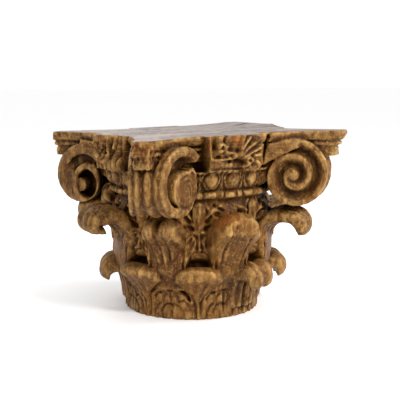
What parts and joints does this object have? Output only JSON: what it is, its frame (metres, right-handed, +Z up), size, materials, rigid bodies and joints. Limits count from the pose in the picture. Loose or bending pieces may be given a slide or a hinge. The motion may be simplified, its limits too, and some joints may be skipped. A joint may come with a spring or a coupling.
{
  "type": "wooden column capital",
  "caption": "Carved and gilded composite column capital of timber: leaf rows on a bell, egg and bead mouldings, corner scrolls and a hollow-sided abacus, worn and broken in places.",
  "frame": {"origin": "centre of the round flat underside", "axes": "+Z up along the column; the main side faces -Y, and a corner scroll stands on each diagonal"},
  "size_m": [0.483, 0.4664, 0.357],
  "materials": {
    "gilt_wood": "worn gilding over reddish bole on carved timber, dark in the hollows, bare wood at the breaks and on top"
  },
  "bodies": {
    "root": {"capital": "gilt_wood"}
  },
  "joints": []
}
